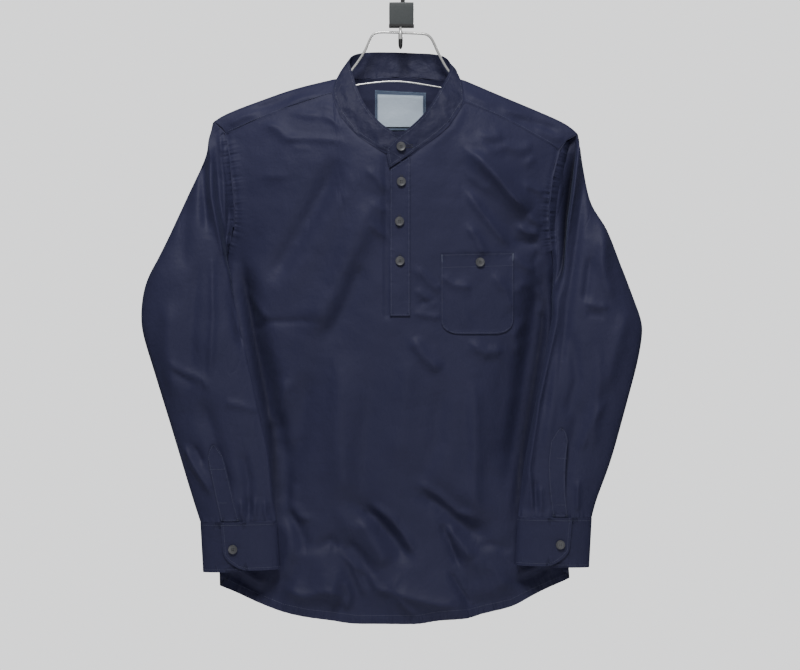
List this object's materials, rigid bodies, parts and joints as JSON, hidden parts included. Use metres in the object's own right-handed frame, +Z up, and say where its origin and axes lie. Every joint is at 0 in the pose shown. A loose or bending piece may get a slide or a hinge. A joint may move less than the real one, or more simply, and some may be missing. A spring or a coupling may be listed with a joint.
{
  "type": "short kurta on a wire hanger",
  "caption": "Long-sleeved cotton short kurta with a band collar, half placket, chest pocket and curved hem, hanging on a wire hanger from a block hook.",
  "frame": {"origin": "top of the stem above the hook's block, from which the whole thing hangs", "axes": "+X to the right of the front view, -Y is the side the garment's front faces, +Z up"},
  "size_m": [0.6717, 0.0895, 0.841],
  "materials": {
    "navy_cotton": "soft cotton with a slight sheen",
    "grey_button": "satin",
    "label_backing": "woven",
    "label_face": "woven satin",
    "chrome_wire": "polished",
    "dark_block": "satin",
    "black_rubber": "matte"
  },
  "bodies": {
    "root": {"front": "navy_cotton", "back": "navy_cotton", "yoke": "navy_cotton", "collar_band": "navy_cotton", "placket_over": "navy_cotton", "placket_under": "navy_cotton", "pocket": "navy_cotton", "sleeve_left": "navy_cotton", "sleeve_right": "navy_cotton", "sleeve_placket_left": "navy_cotton", "sleeve_placket_right": "navy_cotton", "cuff_left": "navy_cotton", "cuff_right": "navy_cotton", "button_band": "grey_button", "button_placket_1": "grey_button", "button_placket_2": "grey_button", "button_placket_3": "grey_button", "button_pocket": "grey_button", "button_cuff_left": "grey_button", "button_cuff_right": "grey_button", "label_patch": "label_backing", "neck_label": "label_face", "hanger_wire": "chrome_wire", "hanger_rail": "chrome_wire", "hook_pin": "chrome_wire", "hook_block": "dark_block", "hook_stem": "black_rubber", "hook_tip": "black_rubber"}
  },
  "joints": []
}
